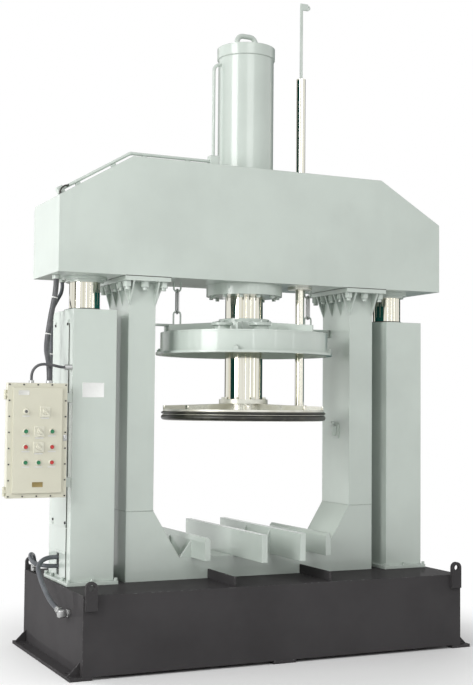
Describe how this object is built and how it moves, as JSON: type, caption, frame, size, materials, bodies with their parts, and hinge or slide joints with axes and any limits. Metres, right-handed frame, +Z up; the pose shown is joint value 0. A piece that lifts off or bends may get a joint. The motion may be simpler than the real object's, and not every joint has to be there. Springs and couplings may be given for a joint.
{
  "type": "industrial extruder",
  "caption": "Hydraulic drum extruder: a portal press frame on lift columns drives a sealed round platen down into a drum, with a hanging drum cover and a control box.",
  "frame": {"origin": "on the floor, on the ram's axis midway between the columns", "axes": "+Z up along the ram, +X to the right seen from the front, -Y towards the front"},
  "size_m": [3.234, 1.384, 4.589],
  "materials": {
    "frame_paint": "gloss",
    "base_paint": "gloss",
    "box_paint": "satin",
    "hard_chrome": "polished",
    "bare_steel": "machined",
    "zinc_steel": "zinc plated",
    "seal_rubber": "satin",
    "hose_rubber": "satin",
    "cable_sheath": "matt",
    "panel_plastic": "satin",
    "button_green": "gloss",
    "button_red": "gloss",
    "lamp_lens": "gloss"
  },
  "bodies": {
    "base": {"base_tank": "base_paint", "base_feet": "base_paint", "wheel_rails": "base_paint", "lifting_lugs": "base_paint", "column_left": "frame_paint", "column_right": "frame_paint", "column_covers": "frame_paint", "column_bolts": "frame_paint", "lift_cylinders": "bare_steel", "lift_glands": "frame_paint", "box_body": "box_paint", "box_bracket": "frame_paint", "box_glands": "zinc_steel", "hose_fittings": "zinc_steel", "beam_cable": "cable_sheath", "beam_hose": "hose_rubber", "box_conduit": "cable_sheath", "base_hose_front": "hose_rubber", "base_hose_rear": "hose_rubber"},
    "door": {"box_door": "box_paint", "door_screws": "zinc_steel", "button_bezels": "panel_plastic", "selector_plates": "panel_plastic", "pilot_lamp": "lamp_lens"},
    "push_1": {"button_1": "button_green"},
    "push_2": {"button_2": "button_green"},
    "push_3": {"button_3": "button_red"},
    "push_4": {"button_4": "button_red"},
    "push_5": {"button_5": "button_green"},
    "push_6": {"button_6": "button_green"},
    "push_7": {"button_7": "button_red"},
    "turn_1": {"selector_1": "panel_plastic"},
    "turn_2": {"selector_2": "panel_plastic"},
    "turn_3": {"selector_3": "panel_plastic"},
    "press_frame": {"top_beam": "frame_paint", "leg_left": "frame_paint", "leg_right": "frame_paint", "lower_beam": "frame_paint", "cradle_bars": "frame_paint", "cylinder_barrel": "frame_paint", "cylinder_cap": "frame_paint", "cylinder_flange": "frame_paint", "lift_rods": "hard_chrome", "rod_flanges": "frame_paint", "oil_pipe": "frame_paint", "pipe_supports": "frame_paint", "guide_bushes": "bare_steel", "frame_bolts": "zinc_steel", "frame_electrics": "zinc_steel", "chain_left": "zinc_steel", "chain_right": "zinc_steel"},
    "ram": {"ram_rod": "hard_chrome", "ram_piston": "bare_steel", "platen": "bare_steel", "platen_seals": "seal_rubber", "guide_rod": "hard_chrome", "indicator_bar": "bare_steel"},
    "cover": {"cover_band": "frame_paint", "drum_cover": "frame_paint", "cover_fittings": "frame_paint"}
  },
  "joints": [
    {"name": "frame_lift", "type": "slide", "parent": "base", "child": "press_frame", "axis": [0, 0, 1], "range_m": [0, 0.25], "deforming": ["beam_cable", "beam_hose"]},
    {"name": "ram_slide", "type": "slide", "parent": "press_frame", "child": "ram", "axis": [0, 0, 1], "range_m": [-0.7, 0.29]},
    {"name": "cover_lift", "type": "slide", "parent": "press_frame", "child": "cover", "axis": [0, 0, 1], "range_m": [0, 0.12], "deforming": ["chain_left", "chain_right"]},
    {"name": "door_hinge", "type": "hinge", "parent": "base", "child": "door", "pos_m": [-1.772, -0.26175, 1.4], "axis": [0, 0, -1], "range_deg": [0, 105]},
    {"name": "button_1_press", "type": "slide", "parent": "door", "child": "push_1", "axis": [0, 1, 0], "range_m": [0, 0.004], "stiffness_N_per_m": 800},
    {"name": "button_2_press", "type": "slide", "parent": "door", "child": "push_2", "axis": [0, 1, 0], "range_m": [0, 0.004], "stiffness_N_per_m": 800},
    {"name": "button_3_press", "type": "slide", "parent": "door", "child": "push_3", "axis": [0, 1, 0], "range_m": [0, 0.004], "stiffness_N_per_m": 800},
    {"name": "button_4_press", "type": "slide", "parent": "door", "child": "push_4", "axis": [0, 1, 0], "range_m": [0, 0.004], "stiffness_N_per_m": 800},
    {"name": "button_5_press", "type": "slide", "parent": "door", "child": "push_5", "axis": [0, 1, 0], "range_m": [0, 0.004], "stiffness_N_per_m": 800},
    {"name": "button_6_press", "type": "slide", "parent": "door", "child": "push_6", "axis": [0, 1, 0], "range_m": [0, 0.004], "stiffness_N_per_m": 800},
    {"name": "button_7_press", "type": "slide", "parent": "door", "child": "push_7", "axis": [0, 1, 0], "range_m": [0, 0.004], "stiffness_N_per_m": 800},
    {"name": "selector_1_turn", "type": "hinge", "parent": "door", "child": "turn_1", "pos_m": [-1.524, -0.3, 1.62], "axis": [0, 1, 0], "range_deg": [-45, 45]},
    {"name": "selector_2_turn", "type": "hinge", "parent": "door", "child": "turn_2", "pos_m": [-1.559, -0.3, 1.495], "axis": [0, 1, 0], "range_deg": [-45, 45]},
    {"name": "selector_3_turn", "type": "hinge", "parent": "door", "child": "turn_3", "pos_m": [-1.563, -0.3, 1.397], "axis": [0, 1, 0], "range_deg": [-45, 45]}
  ]
}
